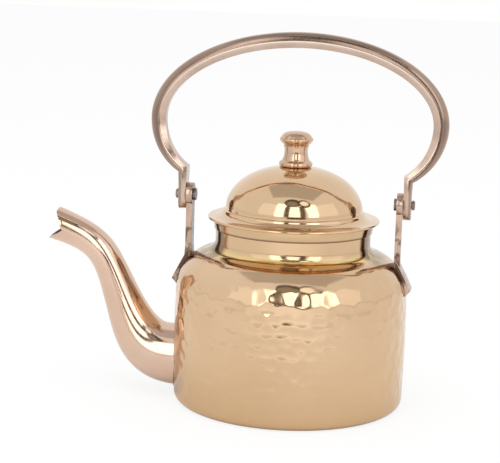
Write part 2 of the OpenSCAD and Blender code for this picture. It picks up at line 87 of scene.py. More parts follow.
def startPoint(name, place):
    # a plane merged to one vertex, left in edit mode to be extruded
    clearSelection()
    bpy.ops.mesh.primitive_plane_add(size=0.001)
    piece = bpy.context.object
    piece.name = name
    bpy.ops.object.mode_set(mode="EDIT")
    bpy.ops.mesh.merge(type="CENTER")
    bpy.ops.transform.translate(value=place)
    return piece


def lathe(name, profile, steps):
    # draws (radius, height) points by extruding a vertex, then spins them round Z
    piece = startPoint(name, (profile[0][0], 0, profile[0][1]))
    for before, after in zip(profile, profile[1:]):
        step = (after[0] - before[0], 0, after[1] - before[1])
        bpy.ops.mesh.extrude_region_move(TRANSFORM_OT_translate={"value": step})
    bpy.ops.mesh.select_all(action="SELECT")
    bpy.ops.mesh.spin(steps=steps, angle=math.tau, center=(0, 0, 0), axis=(0, 0, 1))
    closeMesh()
    return piece


def closeMesh():
    # merges doubles and turns the faces outwards, from edit mode back to object mode
    bpy.ops.mesh.select_all(action="SELECT")
    bpy.ops.mesh.remove_doubles(threshold=mergeGap)
    bpy.ops.mesh.normals_make_consistent(inside=False)
    bpy.ops.object.mode_set(mode="OBJECT")


def applyModifier(piece, kind, **settings):
    activate(piece)
    modifier = piece.modifiers.new(kind.lower(), kind)
    for key, value in settings.items():
        setattr(modifier, key, value)
    bpy.ops.object.modifier_apply(modifier=modifier.name)


def cutBy(piece, cutter):
    applyModifier(piece, "BOOLEAN", object=cutter, operation="DIFFERENCE", solver="EXACT")
    bpy.data.objects.remove(cutter)


def smooth(piece, degrees):
    activate(piece)
    bpy.ops.object.shade_smooth_by_angle(angle=math.radians(degrees))


def finishPiece(piece, body, slot, material, *nodes):
    piece.data.materials.clear()
    piece.data.materials.append(material)
    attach(piece, body)
    if nodes:
        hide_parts(*nodes)
    print("made", piece.name, len(piece.data.polygons), "faces")


# Finishes

grain = {
    "toneDetail": 4, "wearDetail": 6, "cloudDetail": 2, "lineDetail": 3,
    "spread": (0.3, 0.7), "relief": 0.0001,
}


def noise(material, scale, detail):
    # uneven clouds from 0 to 1
    nodes = material.node_tree.nodes
    place = nodes.new("ShaderNodeTexCoord")
    clouds = nodes.new("ShaderNodeTexNoise")
    clouds.inputs["Scale"].default_value = scale
    clouds.inputs["Detail"].default_value = detail
    material.node_tree.links.new(place.outputs["Object"], clouds.inputs["Vector"])
    return clouds.outputs["Fac"]


def mapped(material, value, low, high, toLow=0.0, toHigh=1.0):
    # a value brought from one range to another
    node = material.node_tree.nodes.new("ShaderNodeMapRange")
    for socket, number in zip(("From Min", "From Max", "To Min", "To Max"), (low, high, toLow, toHigh)):
        node.inputs[socket].default_value = number
    material.node_tree.links.new(value, node.inputs["Value"])
    return node.outputs["Result"]


def combined(owner, operation, first, second):
    # a sum, product or larger one of two sockets or numbers, for a material or the world
    node = owner.node_tree.nodes.new("ShaderNodeMath")
    node.operation = operation
    for socket, value in zip(node.inputs, (first, second)):
        if isinstance(value, (int, float)):
            socket.default_value = value
        else:
            owner.node_tree.links.new(value, socket)
    return node.outputs[0]


def markedShare(material, name):
    marked = material.node_tree.nodes.new("ShaderNodeAttribute")
    marked.attribute_name = name
    return marked.outputs["Fac"]


def heightOf(material):
    place = material.node_tree.nodes.new("ShaderNodeTexCoord")
    split = material.node_tree.nodes.new("ShaderNodeSeparateXYZ")
    material.node_tree.links.new(place.outputs["Object"], split.inputs[0])
    return split.outputs["Z"]


def betweenHeights(material, value, foot, top):
    # 1 between two heights, fading out below the foot and above the top
    upper = mapped(material, value, *top, 1, 0)
    return combined(material, "MULTIPLY", upper, mapped(material, value, *foot))


def tintedTone(material, tint, fac):
    # lays another tone over the base colour where the factor asks for it
    nodes = material.node_tree.nodes
    links = material.node_tree.links
    base = nodes["Principled BSDF"].inputs["Base Color"]
    mix = nodes.new("ShaderNodeMix")
    mix.data_type = "RGBA"
    links.new(fac, mix.inputs["Factor"])
    links.new(base.links[0].from_socket, mix.inputs["A"])
    mix.inputs["B"].default_value = (*tint, 1)
    links.new(mix.outputs["Result"], base)


def raised(material, height, strength):
    # a fine relief on top of the one that is there
    nodes = material.node_tree.nodes
    links = material.node_tree.links
    normal = nodes["Principled BSDF"].inputs["Normal"]
    bump = nodes.new("ShaderNodeBump")
    bump.inputs["Strength"].default_value = strength
    bump.inputs["Distance"].default_value = grain["relief"]
    links.new(height, bump.inputs["Height"])
    if normal.links:
        links.new(normal.links[0].from_socket, bump.inputs["Normal"])
    links.new(bump.outputs["Normal"], normal)


def brass(name, look):
    # polished metal with soft changes of tone, fine wear in the gloss and a faint relief
    material = bpy.data.materials.new(name)
    material.use_nodes = True
    nodes = material.node_tree.nodes
    links = material.node_tree.links
    shader = nodes["Principled BSDF"]
    shader.inputs["Metallic"].default_value = 1.0
    colours = nodes.new("ShaderNodeValToRGB")
    tones = (look["dark"], look["light"])
    for stop, place, tone in zip(colours.color_ramp.elements, grain["spread"], tones):
        stop.position = place
        stop.color = (*tone, 1)
    links.new(noise(material, look["toneScale"], grain["toneDetail"]), colours.inputs["Fac"])
    links.new(colours.outputs["Color"], shader.inputs["Base Color"])
    wear = noise(material, look["wearScale"], grain["wearDetail"])
    links.new(mapped(material, wear, *grain["spread"], *look["gloss"]), shader.inputs["Roughness"])
    raised(material, wear, look["scratch"])
    return material


def brushedLines(material, brushed):
    # fine raised lines along the run of the bar
    nodes = material.node_tree.nodes
    links = material.node_tree.links
    run = nodes.new("ShaderNodeUVMap")
    run.uv_map = "run"
    stretch = nodes.new("ShaderNodeMapping")
    stretch.inputs["Scale"].default_value = (brushed["along"], brushed["across"], 1)
    links.new(run.outputs["UV"], stretch.inputs["Vector"])
    lines = nodes.new("ShaderNodeTexNoise")
    lines.inputs["Scale"].default_value = 1.0
    lines.inputs["Detail"].default_value = grain["lineDetail"]
    links.new(stretch.outputs["Vector"], lines.inputs["Vector"])
    raised(material, lines.outputs["Fac"], brushed["depth"])
    return lines.outputs["Fac"]


def lugReflectionBrowned(material, look):
    # uneven brown beside the lugs, a painted reflection of the lugs and painted shade beside them
    clouds = noise(material, look["cloudScale"], grain["cloudDetail"])
    uneven = mapped(material, clouds, *look["clouds"])
    reached = markedShare(material, "lugDarkening")
    tintedTone(material, look["lugDarkening"], combined(material, "MULTIPLY", uneven, reached))


def shadeAndReflectionBrass(name, look):
    # painted shade: duller towards the bottom, where the drum mirrors the darker floor near the base,
    # and on the neck; a painted reflection of brass in brass makes the fillet under the neck yellow
    material = brass(name, look)
    height = heightOf(material)
    dull = mapped(material, height, *look["lowShadeH"], look["lowShadeShare"], 0)
    tintedTone(material, look["lowShade"], dull)
    tintedTone(material, look["neck"], mapped(material, height, *look["neckH"], 0, look["neckShare"]))
    tintedTone(material, look["creaseReflection"], betweenHeights(material, height, *look["creaseReflectionH"]))
    lugReflectionBrowned(material, look)
    return material


def bandBrass(name, look):
    # a dark line of painted shade lies along the lower edge
    material = brass(name, look)
    tintedTone(material, look["line"], mapped(material, heightOf(material), *look["edgeShadeH"], 1, 0))
    lugReflectionBrowned(material, look)
    return material


def insideShadedBrass(name, look):
    # dull and dark on the inside, painted shade within the tube
    material = brass(name, look)
    tintedTone(material, look["insideShade"], markedShare(material, "insideShade"))
    return material


def patinaAndReflectionBrass(name, look):
    # the attribute says how brown: 0 is a painted highlight on the ridge, 1 is the dark of the outer
    # side, patina together with a painted dark reflection
    material = brass(name, look)
    lines = brushedLines(material, look["brushed"])
    share = markedShare(material, "patinaAndDarkReflection")
    tintedTone(material, look["ridgeHighlight"], mapped(material, share, look["ridgeHighlightTo"], 0))
    worn = mapped(material, lines, *grain["spread"], *look["worn"])
    brown = mapped(material, share, look["patinaAndReflectionFrom"], 1)
    tintedTone(material, look["patinaAndDarkReflection"], combined(material, "MULTIPLY", brown, worn))
    return material


def brownedLugBrass(name, look):
    # browns the sides of the foot in uneven clouds and the shank in spots
    material = brass(name, look)
    height = heightOf(material)
    clouds = noise(material, look["cloudScale"], grain["cloudDetail"])
    reach = look["cloudReach"]
    uneven = combined(material, "ADD", mapped(material, clouds, 0, 1, -reach / 2, reach / 2), height)
    foot = betweenHeights(material, uneven, *look["lugBrownH"])
    spots = mapped(material, clouds, *look["spots"], 0, look["spotShare"])
    spots = combined(material, "MULTIPLY", spots, mapped(material, height, *look["spotH"], 1, 0))
    share = markedShare(material, "lugDarkening")
    browned = combined(material, "MULTIPLY", combined(material, "MAXIMUM", foot, spots), share)
    # a share over 1, on the side towards the neck, browns at every height as painted shade between the
    # lug and the neck
    neckFacingShade = mapped(material, share, 1, 2)
    tintedTone(material, look["lugBrown"], combined(material, "MAXIMUM", browned, neckFacingShade))
    return material


# painted reflection of the lugs in the neck and the collar, brown in uneven clouds
lugReflectionLook = {"lugDarkening": (0.20, 0.115, 0.06), "cloudScale": 140, "clouds": (0.25, 0.5)}
finishes = {
    "hammeredBrass": (shadeAndReflectionBrass, {
        "dark": (0.65, 0.45, 0.275), "light": (0.73, 0.52, 0.335), "toneScale": 22,
        "gloss": (0.08, 0.16), "wearScale": 180, "scratch": 0.04,
        # painted shade towards the bottom
        "lowShade": (0.56, 0.37, 0.195), "lowShadeH": (0.006, 0.055), "lowShadeShare": 0.6,
        # painted shade on the neck
        "neck": (0.55, 0.37, 0.20), "neckH": (0.0835, 0.0875), "neckShare": 0.3,
        # painted reflection of brass in brass, yellow in the fillet under the neck
        "creaseReflection": (0.80, 0.60, 0.28), "creaseReflectionH": ((0.0856, 0.0868), (0.0880, 0.0905)),
        **lugReflectionLook,
    }),
    "mouthBrass": (bandBrass, {
        "dark": (0.57, 0.39, 0.22), "light": (0.65, 0.455, 0.27), "toneScale": 25,
        "gloss": (0.06, 0.12), "wearScale": 220, "scratch": 0.03,
        # a line of painted shade along the band's lower edge
        "line": (0.24, 0.15, 0.09), "edgeShadeH": (0.0992, 0.0999),
        **lugReflectionLook,
    }),
    "polishedBrass": (brass, {
        "dark": (0.655, 0.455, 0.28), "light": (0.725, 0.52, 0.335), "toneScale": 25,
        "gloss": (0.06, 0.12), "wearScale": 220, "scratch": 0.03,
    }),
    "turnedBrass": (brass, {
        "dark": (0.54, 0.375, 0.255), "light": (0.65, 0.46, 0.325), "toneScale": 120,
        "gloss": (0.10, 0.20), "wearScale": 400, "scratch": 0.06,
    }),
    "spoutBrass": (insideShadedBrass, {
        "dark": (0.63, 0.445, 0.325), "light": (0.73, 0.53, 0.415), "toneScale": 30,
        "gloss": (0.08, 0.16), "wearScale": 260, "scratch": 0.06,
        # painted shade inside the spout
        "insideShade": (0.17, 0.105, 0.08),
    }),
    "castBrass": (brass, {
        "dark": (0.44, 0.31, 0.235), "light": (0.58, 0.42, 0.325), "toneScale": 60,
        "gloss": (0.14, 0.28), "wearScale": 300, "scratch": 0.10,
    }),
    "bailBrass": (patinaAndReflectionBrass, {
        "dark": (0.50, 0.37, 0.295), "light": (0.60, 0.455, 0.37), "toneScale": 60,
        "gloss": (0.13, 0.22), "wearScale": 300, "scratch": 0.02,
        # a painted highlight on the ridge; patina with a painted dark reflection on the outer side
        "ridgeHighlight": (0.97, 0.84, 0.72), "patinaAndDarkReflection": (0.15, 0.092, 0.068),
        "ridgeHighlightTo": 0.3, "patinaAndReflectionFrom": 0.35, "worn": (0.6, 1.0),
        "brushed": {"along": 25, "across": 1400, "depth": 0.06},
    }),
    "lugBrass": (brownedLugBrass, {
        "dark": (0.44, 0.31, 0.235), "light": (0.60, 0.44, 0.35), "toneScale": 90,
        "gloss": (0.16, 0.30), "wearScale": 300, "scratch": 0.10,
        # brown on the foot and in spots, and painted shade on the side towards the neck
        "lugBrown": (0.12, 0.072, 0.050), "lugBrownH": ((0.070, 0.075), (0.084, 0.089)),
        "cloudScale": 160, "cloudReach": 0.006,
        "spots": (0.50, 0.60), "spotShare": 0.85, "spotH": (0.097, 0.108),
    }),
    "brazedBrass": (brass, {
        "dark": (0.22, 0.14, 0.095), "light": (0.40, 0.275, 0.19), "toneScale": 180,
        "gloss": (0.2, 0.4), "wearScale": 500, "scratch": 0.2,
    }),
    "darkSteel": (brass, {
        "dark": (0.16, 0.13, 0.115), "light": (0.30, 0.26, 0.235), "toneScale": 300,
        "gloss": (0.28, 0.5), "wearScale": 500, "scratch": 0.25,
    }),
}
materials = {name: make(name, look) for name, (make, look) in finishes.items()}
print("finishes", ", ".join(materials))


# Body: a spun sheet with real hammer marks

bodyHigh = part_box("body_shell")[1]
body = {
    "radius": bodyHigh.x, "mouthH": bodyHigh.z, "sheet": 0.001,
    "shoulderR": 0.022, "shoulderH": 0.087, "bottomEdgeR": 0.005, "flangeW": 0.006,
    "neckR": 0.0435, "neckFilletR": 0.006, "barrel": 0.0005,
    "steps": 400, "drumRings": 60, "shoulderRings": 26,
    "blowW": 0.0074, "rowH": 0.0060, "blowDepth": 0.00046, "blows": (0.35, 1.35),
    "stray": 0.3, "seed": 5,
    "waveSize": 0.05, "waveDepth": 0.0004,
    "markFrom": (0.004, 0.012), "markFull": (0.030, 0.050), "markTo": (0.070, 0.082), "lowShare": 0.7,
}
# where the painted reflection of the lugs lies: degrees aside of the lugs in front and behind, and
# heights
lugReflection = {"front": (34, 42), "rear": (20, 29), "height": (0.0815, 0.088), "share": 0.9}
strainer = {
    "holeR": 0.0017, "pitch": 0.0054, "rows": 2, "height": 0.0218, "depth": 0.03, "sides": 24,
    "sliver": 2e-5,
}


def bodyProfile(b):
    shoulder = (b["radius"] - b["shoulderR"], b["shoulderH"] - b["shoulderR"])
    reach = b["shoulderR"] + b["neckFilletR"]
    filletX = b["neckR"] + b["neckFilletR"]
    filletRise = math.sqrt(reach ** 2 - (filletX - shoulder[0]) ** 2)
    crown = math.degrees(math.atan2(filletRise, filletX - shoulder[0]))
    fillet = (filletX, shoulder[1] + filletRise)
    edge = (b["radius"] - b["bottomEdgeR"], b["bottomEdgeR"])
    points = [(edge[0] - b["flangeW"], 0)]
    points += arcPoints(edge, b["bottomEdgeR"], -90, 0, 8)
    wall = linePoints(points[-1], (b["radius"], shoulder[1]), b["drumRings"])
    for i, (r, z) in enumerate(wall):
        points.append((r + b["barrel"] * math.sin(math.pi * (i + 1) / len(wall)), z))
    points += arcPoints(shoulder, b["shoulderR"], 0, crown, b["shoulderRings"])[1:]
    points += arcPoints(fillet, b["neckFilletR"], crown + 180, 180, 8)[1:]
    points += linePoints(points[-1], (b["neckR"], b["mouthH"]), 8)
    return points


def ramp(value, start, end):
    share = min(1.0, max(0.0, (value - start) / (end - start)))
    return share * share * (3 - 2 * share)


def hammerRows(b):
    # staggered rows of blows: each one's place round the row, height and depth, a little astray
    chance = random.Random(b["seed"])
    perRow = round(math.tau * b["radius"] / b["blowW"])
    rows = []
    for r in range(math.ceil(b["markTo"][1] / b["rowH"]) + 2):
        row = []
        for i in range(perRow):
            place = i + r % 2 / 2 + chance.uniform(-b["stray"], b["stray"])
            height = (r + chance.uniform(-b["stray"], b["stray"])) * b["rowH"]
            row.append((place, height, b["blowDepth"] * chance.uniform(*b["blows"])))
        rows.append(row)
    return rows


def dentAt(b, rows, spot):
    # the deepest of the shallow dishes around a place on the drum
    perRow = len(rows[0])
    turn = math.atan2(spot.y, spot.x) % math.tau / math.tau * perRow
    near = round(spot.z / b["rowH"])
    deepest = 0
    for row in rows[max(0, near - 1):near + 2]:
        for k in range(math.floor(turn) - 2, math.floor(turn) + 3):
            place, height, depth = row[k % perRow]
            across = 2 * (turn - place - perRow * (k // perRow))
            up = 2 * (spot.z - height) / b["rowH"]
            deepest = max(deepest, depth * (1 - (across ** 2 + up ** 2) / 2))
    return deepest


def markLugReflection(piece, t):
    # how strongly the painted reflection of the lugs browns the metal, by the angle aside of the lugs
    # and the height
    shares = []
    for point in piece.data.vertices:
        aside = math.degrees(math.atan2(abs(point.co.y), abs(point.co.x)))
        share = 1 - ramp(aside, *t["front" if point.co.x < 0 else "rear"])
        shares.append(t["share"] * share * ramp(point.co.z, *t["height"]))
    piece.data.attributes.new("lugDarkening", "FLOAT", "POINT").data.foreach_set("value", shares)


def strainerPunch(s):
    # a cylinder for each hole of the staggered rows, joined to one cutter
    punches = []
    for row in range(-s["rows"], s["rows"] + 1):
        inRow = 2 * s["rows"] + 1 - abs(row)
        height = s["height"] + row * s["pitch"] * math.sin(math.pi / 3)
        for i in range(inRow):
            aside = (i - (inRow - 1) / 2) * s["pitch"]
            bpy.ops.mesh.primitive_cylinder_add(
                vertices=s["sides"], radius=s["holeR"], depth=s["depth"],
                location=(-body["radius"], aside, height), rotation=(0, math.pi / 2, 0))
            punches.append(bpy.context.object)
    activate(punches[0])
    for punch in punches:
        punch.select_set(True)
    bpy.ops.object.join()
    return punches[0]


hammeredBody = lathe("hammeredBody", bodyProfile(body), body["steps"])
hammered = hammeredBody.vertex_groups.new(name="hammered")
blows = hammerRows(body)
moves = []
for point in hammeredBody.data.vertices:
    share = body["lowShare"] + (1 - body["lowShare"]) * ramp(point.co.z, *body["markFull"])
    share *= ramp(point.co.z, *body["markFrom"]) * (1 - ramp(point.co.z, *body["markTo"]))
    hammered.add([point.index], share, "REPLACE")
    moves.append(point.normal * share * (body["blowDepth"] / 2 - dentAt(body, blows, point.co)))
for point, move in zip(hammeredBody.data.vertices, moves):
    point.co += move
waves = bpy.data.textures.new("handWaves", "CLOUDS")
waves.noise_scale = body["waveSize"]
applyModifier(
    hammeredBody, "DISPLACE", texture=waves, texture_coords="LOCAL",
    strength=body["waveDepth"], mid_level=0.5, vertex_group="hammered")
applyModifier(hammeredBody, "SOLIDIFY", thickness=body["sheet"], offset=-1)
cutBy(hammeredBody, strainerPunch(strainer))
# the cut faces become triangles first, so that none folds when the slivers are merged
applyModifier(hammeredBody, "TRIANGULATE", min_vertices=5)
applyModifier(hammeredBody, "WELD", merge_threshold=strainer["sliver"])
markLugReflection(hammeredBody, lugReflection)
smooth(hammeredBody, 40)
finishPiece(hammeredBody, "pot", "hammered_brass", materials["hammeredBrass"], "body_shell")

# Mouth collar: a plain band with soft edges

collarLow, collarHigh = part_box("mouth_collar")
collar = {"inside": 0.04355, "lowT": 0.0008, "edgeR": 0.00035, "steps": 160}
lowEdge = (collar["inside"] + collar["lowT"] - collar["edgeR"], collarLow.z + collar["edgeR"])
highEdge = (collarHigh.x - collar["edgeR"], collarHigh.z - collar["edgeR"])
collarProfile = [(collar["inside"], collarLow.z)]
collarProfile += arcPoints(lowEdge, collar["edgeR"], -90, 0, 4)
collarProfile += arcPoints(highEdge, collar["edgeR"], 0, 90, 4)
collarProfile += [(collar["inside"], collarHigh.z), collarProfile[0]]
mouthBand = lathe("mouthBand", collarProfile, collar["steps"])
markLugReflection(mouthBand, lugReflection)
smooth(mouthBand, 40)
finishPiece(mouthBand, "pot", "polished_brass", materials["mouthBrass"], "mouth_collar")

# Lid: dome, bead and hollow brim, with its underside

lidLow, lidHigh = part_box("lid_shell")
lid = {
    "radius": lidHigh.x, "seatH": lidLow.z, "sheet": 0.001, "edgeH": 0.0014, "seatW": 0.005,
    "brimRise": 0.0056, "domeR": 0.0385, "domeH": 0.025, "beadR": 0.0014, "hollowAt": 0.25,
    "holeR": 0.0021, "knobSeatR": 0.0094, "steps": 160, "domeRings": 40, "underRings": 30,
    "waveSize": 0.022, "waveDepth": 0.0007, "waveFrom": (0.011, 0.018), "waveRise": (0.001, 0.006),
}


def lidProfile(d):
    footH = d["seatH"] + d["brimRise"]
    flatAngle = math.degrees(math.asin(d["knobSeatR"] / d["domeR"]))
    top = []
    for i in range(d["domeRings"] + 1):
        a = math.radians(flatAngle + (90 - flatAngle) * i / d["domeRings"])
        top.append((d["domeR"] * math.sin(a), footH + d["domeH"] * math.cos(a)))
    top.insert(0, (d["holeR"], top[0][1]))
    top += arcPoints((d["domeR"], footH - d["beadR"]), d["beadR"], 90, 0, 8)[1:]
    edgeR = d["edgeH"] / 2
    brimEnd = (d["radius"] - edgeR, d["seatH"] + d["edgeH"])
    hollow = (top[-1][0] + (brimEnd[0] - top[-1][0]) * d["hollowAt"], brimEnd[1])
    top += curvePoints(top[-1], hollow, brimEnd, 14)
    top += arcPoints((brimEnd[0], d["seatH"] + edgeR), edgeR, 90, -90, 10)[1:]
    seatIn = d["radius"] - d["seatW"]
    under = [(seatIn, d["seatH"]), (seatIn, d["seatH"] + edgeR)]
    inside = d["domeR"] - d["sheet"]
    for i in range(d["underRings"] + 1):
        a = math.radians(90 - (90 - flatAngle) * i / d["underRings"])
        under.append((inside * math.sin(a), footH + (d["domeH"] - d["sheet"]) * math.cos(a)))
    under += [(d["holeR"], under[-1][1]), top[0]]
    return top + under


domedLid = lathe("domedLid", lidProfile(lid), lid["steps"])
beaten = domedLid.vertex_groups.new(name="beaten")
for point in domedLid.data.vertices:
    share = ramp(point.co.xy.length, *lid["waveFrom"])
    share *= ramp(point.co.z - lid["seatH"] - lid["brimRise"], *lid["waveRise"])
    beaten.add([point.index], share, "REPLACE")
lidWaves = bpy.data.textures.new("lidWaves", "CLOUDS")
lidWaves.noise_scale = lid["waveSize"]
applyModifier(
    domedLid, "DISPLACE", texture=lidWaves, texture_coords="LOCAL", direction="Z",
    strength=lid["waveDepth"], mid_level=0.5, vertex_group="beaten")
smooth(domedLid, 40)
finishPiece(domedLid, "lid", "polished_brass", materials["polishedBrass"], "lid_shell")

# Knob: turned foot, waist and cap with fine rings

knobLow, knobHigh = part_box("lid_knob")
knob = {
    "footR": 0.0094, "footH": 0.0034, "steps": 96,
    # radius and height above the foot
    "bore": ((0, 0.010), (0.0021, 0.009), (0.0021, 0)), "footTop": (0.0078, 0.0036),
    "waistPull": (0.0060, 0.0066),
    "ring": ((0.0067, 0.0112), (0.0071, 0.0113), (0.0071, 0.0118), (0.0068, 0.0122)),
    "capPull": (0.0086, 0.0134), "capWide": (0.0094, 0.0152),
    "edgePull": (0.0095, 0.0158), "capEdge": (0.0088, 0.0164),
    # radius and depth below the top
    "crownPull": (0.0074, 0.0012), "crown": (0.0055, 0.0007), "topPull": (0.003, 0),
}


def knobProfile(k, low, high):
    def above(point):
        return (point[0], low + point[1])

    def below(point):
        return (point[0], high - point[1])

    footRound = k["footH"] / 2
    bore = [above(point) for point in k["bore"]]
    ring = [above(point) for point in k["ring"]]
    points = [bore[-1]]
    points += arcPoints((k["footR"] - footRound, low + footRound), footRound, -90, 70, 10)
    points.append(above(k["footTop"]))
    points += curvePoints(points[-1], above(k["waistPull"]), ring[0], 14)
    points += ring[1:]
    points += curvePoints(points[-1], above(k["capPull"]), above(k["capWide"]), 10)
    points += curvePoints(points[-1], above(k["edgePull"]), above(k["capEdge"]), 4)
    points += curvePoints(points[-1], below(k["crownPull"]), below(k["crown"]), 8)
    points += curvePoints(points[-1], below(k["topPull"]), (0, high), 6)
    return points + bore


turnedKnob = lathe("turnedKnob", knobProfile(knob, knobLow.z, knobHigh.z), knob["steps"])
smooth(turnedKnob, 35)
finishPiece(turnedKnob, "lid", "polished_brass", materials["turnedBrass"], "lid_knob")

# Spout: a tube drawn ring by ring along its middle line

spout = {
    "rootR": 0.0176, "neckR": 0.0087, "mouthR": 0.0095, "wall": 0.0016, "sides": 48, "rings": 56,
    "sink": 0.006, "rootH": strainer["height"], "bend": (-0.098, 0.056), "mouth": (-0.1376, 0.095),
    "tilts": (-5, 68, 17.5), "tiltStep": 0.01, "hold": 0.7, "mouthHold": 0.73,
    "taperEnd": 1.37, "taperLag": 1.05, "flareStart": 1.6,
    "notchDepth": 0.0072, "notchRoll": 7, "notchTip": 1e-5, "lipLand": 0.0010,
    "edgeR": 0.0004, "edgeFrom": 50, "trimSides": 256, "insideShadeFrom": 0.5,
}


def outward(tilt):
    a = math.radians(tilt)
    return Vector((-math.cos(a), 0, math.sin(a)))


def spoutLine(s, t):
    # t runs from 0 in the drum over 1 at the bend to 2 at the mouth
    rootDir, bendDir, mouthDir = (outward(tilt) for tilt in s["tilts"])
    root = Vector((-body["radius"], 0, s["rootH"])) - rootDir * s["sink"]
    bend = Vector((s["bend"][0], 0, s["bend"][1]))
    mouth = Vector((s["mouth"][0], 0, s["mouth"][1]))
    lowPull = (bend.z - s["rootH"]) * s["hold"]
    highPull = (mouth.z - bend.z) * s["hold"]
    mouthPull = (mouth.z - bend.z) * s["mouthHold"]
    if t < 1:
        stations = (root, root + rootDir * lowPull, bend - bendDir * lowPull, bend)
    else:
        stations = (bend, bend + bendDir * highPull, mouth - mouthDir * mouthPull, mouth)
        t = t - 1
    weights = ((1 - t) ** 3, 3 * t * (1 - t) ** 2, 3 * t * t * (1 - t), t ** 3)
    return sum((p * w for p, w in zip(stations, weights)), Vector())


def spoutRadius(s, t):
    taper = (1 + math.cos(math.pi * min(1, t / s["taperEnd"]) ** s["taperLag"])) / 2
    flare = max(0, (t - s["flareStart"]) / (2 - s["flareStart"])) ** 2
    return s["neckR"] + (s["rootR"] - s["neckR"]) * taper + (s["mouthR"] - s["neckR"]) * flare


def spoutTilt(s, t):
    step = s["tiltStep"]
    ahead = spoutLine(s, min(2, t + step)) - spoutLine(s, max(0, t - step))
    return math.atan2(ahead.z, -ahead.x)


def drawSpout(s):
    clearSelection()
    bpy.ops.mesh.primitive_circle_add(
        vertices=s["sides"], radius=spoutRadius(s, 0), location=spoutLine(s, 0),
        rotation=(0, spoutTilt(s, 0) - math.pi / 2, 0))
    piece = bpy.context.object
    piece.name = "curvedSpout"
    bpy.ops.object.transform_apply(location=True, rotation=True, scale=True)
    bpy.ops.object.mode_set(mode="EDIT")
    bpy.ops.mesh.select_all(action="SELECT")
    last = 0.0
    for ring in range(1, s["rings"] + 1):
        t = 2 * ring / s["rings"]
        middle = spoutLine(s, t)
        grow = spoutRadius(s, t) / spoutRadius(s, last)
        turn = spoutTilt(s, t) - spoutTilt(s, last)
        step = middle - spoutLine(s, last)
        bpy.ops.mesh.extrude_region_move(TRANSFORM_OT_translate={"value": step})
        bpy.ops.transform.rotate(
            value=-turn, orient_axis="Y", orient_type="GLOBAL", center_override=middle)
        bpy.ops.transform.resize(value=(grow, grow, grow), center_override=middle)
        last = t
    closeMesh()
    return piece


def notchWedge(s):
    # a cube drawn out to a three-sided wedge whose edge is the bottom of the notch
    mouth = Vector((s["mouth"][0], 0, s["mouth"][1]))
    ahead = outward(s["tilts"][2])
    up = Vector((ahead.z, 0, -ahead.x))
    depth = s["notchDepth"]
    half = s["mouthR"] - s["lipLand"]
    clearSelection()
    bpy.ops.mesh.primitive_cube_add(size=2)
    wedge = bpy.context.object
    vertex = mouth - ahead * depth
    across = Vector((0, 1, 0)) + up * math.tan(math.radians(s["notchRoll"]))
    for point in wedge.data.vertices:
        side = across * point.co.y * 2 * s["mouthR"]
        if point.co.x > 0:
            point.co = vertex + side + up * point.co.z * s["notchTip"]
        else:
            point.co = vertex + side + 2 * (ahead * depth + up * point.co.z * half)
    return wedge


def markInsideShade(piece, s):
    # the faces that look towards the middle line, which take the painted shade of the inside
    middles = [spoutLine(s, 2 * i / s["rings"]) for i in range(s["rings"] + 1)]
    insideShade = piece.data.attributes.new("insideShade", "FLOAT", "FACE")
    for face in piece.data.polygons:
        ways = (middle - face.center for middle in middles)
        inward = min(ways, key=lambda way: way.length_squared).normalized()
        insideShade.data[face.index].value = float(face.normal.dot(inward) > s["insideShadeFrom"])


curvedSpout = drawSpout(spout)
applyModifier(curvedSpout, "SOLIDIFY", thickness=spout["wall"], offset=-1)
cutBy(curvedSpout, notchWedge(spout))
clearSelection()
bpy.ops.mesh.primitive_cylinder_add(
    vertices=spout["trimSides"], radius=body["radius"] - body["sheet"] / 2, depth=body["mouthH"],
    location=(0, 0, body["mouthH"] / 2))
cutBy(curvedSpout, bpy.context.object)
applyModifier(
    curvedSpout, "BEVEL", width=spout["edgeR"], segments=2, limit_method="ANGLE",
    angle_limit=math.radians(spout["edgeFrom"]))
smooth(curvedSpout, 40)
markInsideShade(curvedSpout, spout)
finishPiece(curvedSpout, "pot", "cast_brass", materials["spoutBrass"], "spout")

# Braze: an uneven bead where the spout meets the drum

braze = {"beadR": 0.0006, "rootAt": 0.1, "points": 120, "seed": 3, "uneven": 0.35}


def drawBead(z, s):
    # a circle laid on the line where the spout's root meets the drum, then given a round section
    chance = random.Random(z["seed"])
    clearSelection()
    bpy.ops.mesh.primitive_circle_add(vertices=z["points"], radius=spoutRadius(s, z["rootAt"]))
    bead = bpy.context.object
    bead.name = "spoutBraze"
    for point in bead.data.vertices:
        side, up = point.co.x, point.co.y
        point.co = (-math.sqrt(body["radius"] ** 2 - side ** 2), side, s["rootH"] + up)
    bpy.ops.object.convert(target="CURVE")
    bead.data.bevel_depth = z["beadR"]
    bead.data.bevel_resolution = 2
    for spot in bead.data.splines[0].points:
        spot.radius = 1 + z["uneven"] * chance.uniform(-1, 1)
    bpy.ops.object.convert(target="MESH")
    return bpy.context.object


spoutBraze = drawBead(braze, spout)
smooth(spoutBraze, 60)
finishPiece(spoutBraze, "pot", "cast_brass", materials["brazedBrass"])

# Bail handle: a ridged bar swept over flat legs

